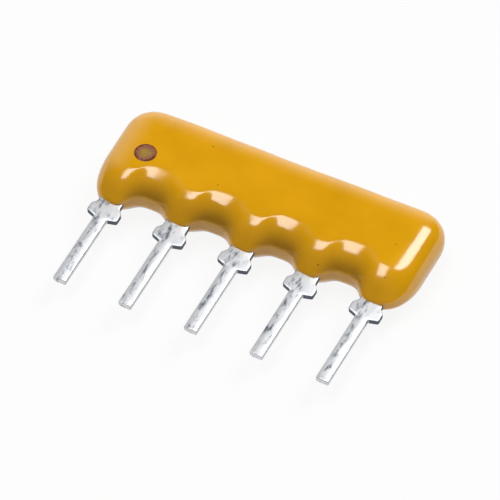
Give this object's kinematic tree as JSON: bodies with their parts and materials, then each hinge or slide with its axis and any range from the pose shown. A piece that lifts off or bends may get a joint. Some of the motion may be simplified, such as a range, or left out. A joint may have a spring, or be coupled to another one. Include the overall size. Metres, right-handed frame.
{
  "type": "resistor network",
  "caption": "Single in-line resistor network: printed resistors on a ceramic plate with clipped-on tinned leads, dipped in a rounded glossy epoxy coating that arches up between the leads.",
  "frame": {"origin": "on the surface that the coating's back rests on, under the centre of the part's outline", "axes": "+X along the lead row from lead 1 to lead 5, +Y from the lead tips up the body, +Z out of the marked face"},
  "size_m": [0.0124, 0.0082, 0.002],
  "materials": {
    "epoxy_coating": "glossy mustard epoxy, dipped and cured",
    "tinned_lead": "bright tin over copper alloy, slightly uneven from hot dipping",
    "alumina": "fired alumina, matt",
    "silver_film": "fired silver-palladium film, satin",
    "resistor_film": "fired ruthenium-oxide film, dark and slightly glossy",
    "overglaze": "thin green glass, glossy",
    "solder": "reflowed solder, satin"
  },
  "bodies": {
    "root": {"coating": "epoxy_coating", "lead_1": "tinned_lead", "lead_2": "tinned_lead", "lead_3": "tinned_lead", "lead_4": "tinned_lead", "lead_5": "tinned_lead", "substrate": "alumina", "bus_conductor": "silver_film", "pad_2": "silver_film", "pad_3": "silver_film", "pad_4": "silver_film", "pad_5": "silver_film", "resistor_1": "resistor_film", "resistor_2": "resistor_film", "resistor_3": "resistor_film", "resistor_4": "resistor_film", "overglaze": "overglaze", "solder_1": "solder", "solder_2": "solder", "solder_3": "solder", "solder_4": "solder", "solder_5": "solder"}
  },
  "joints": []
}
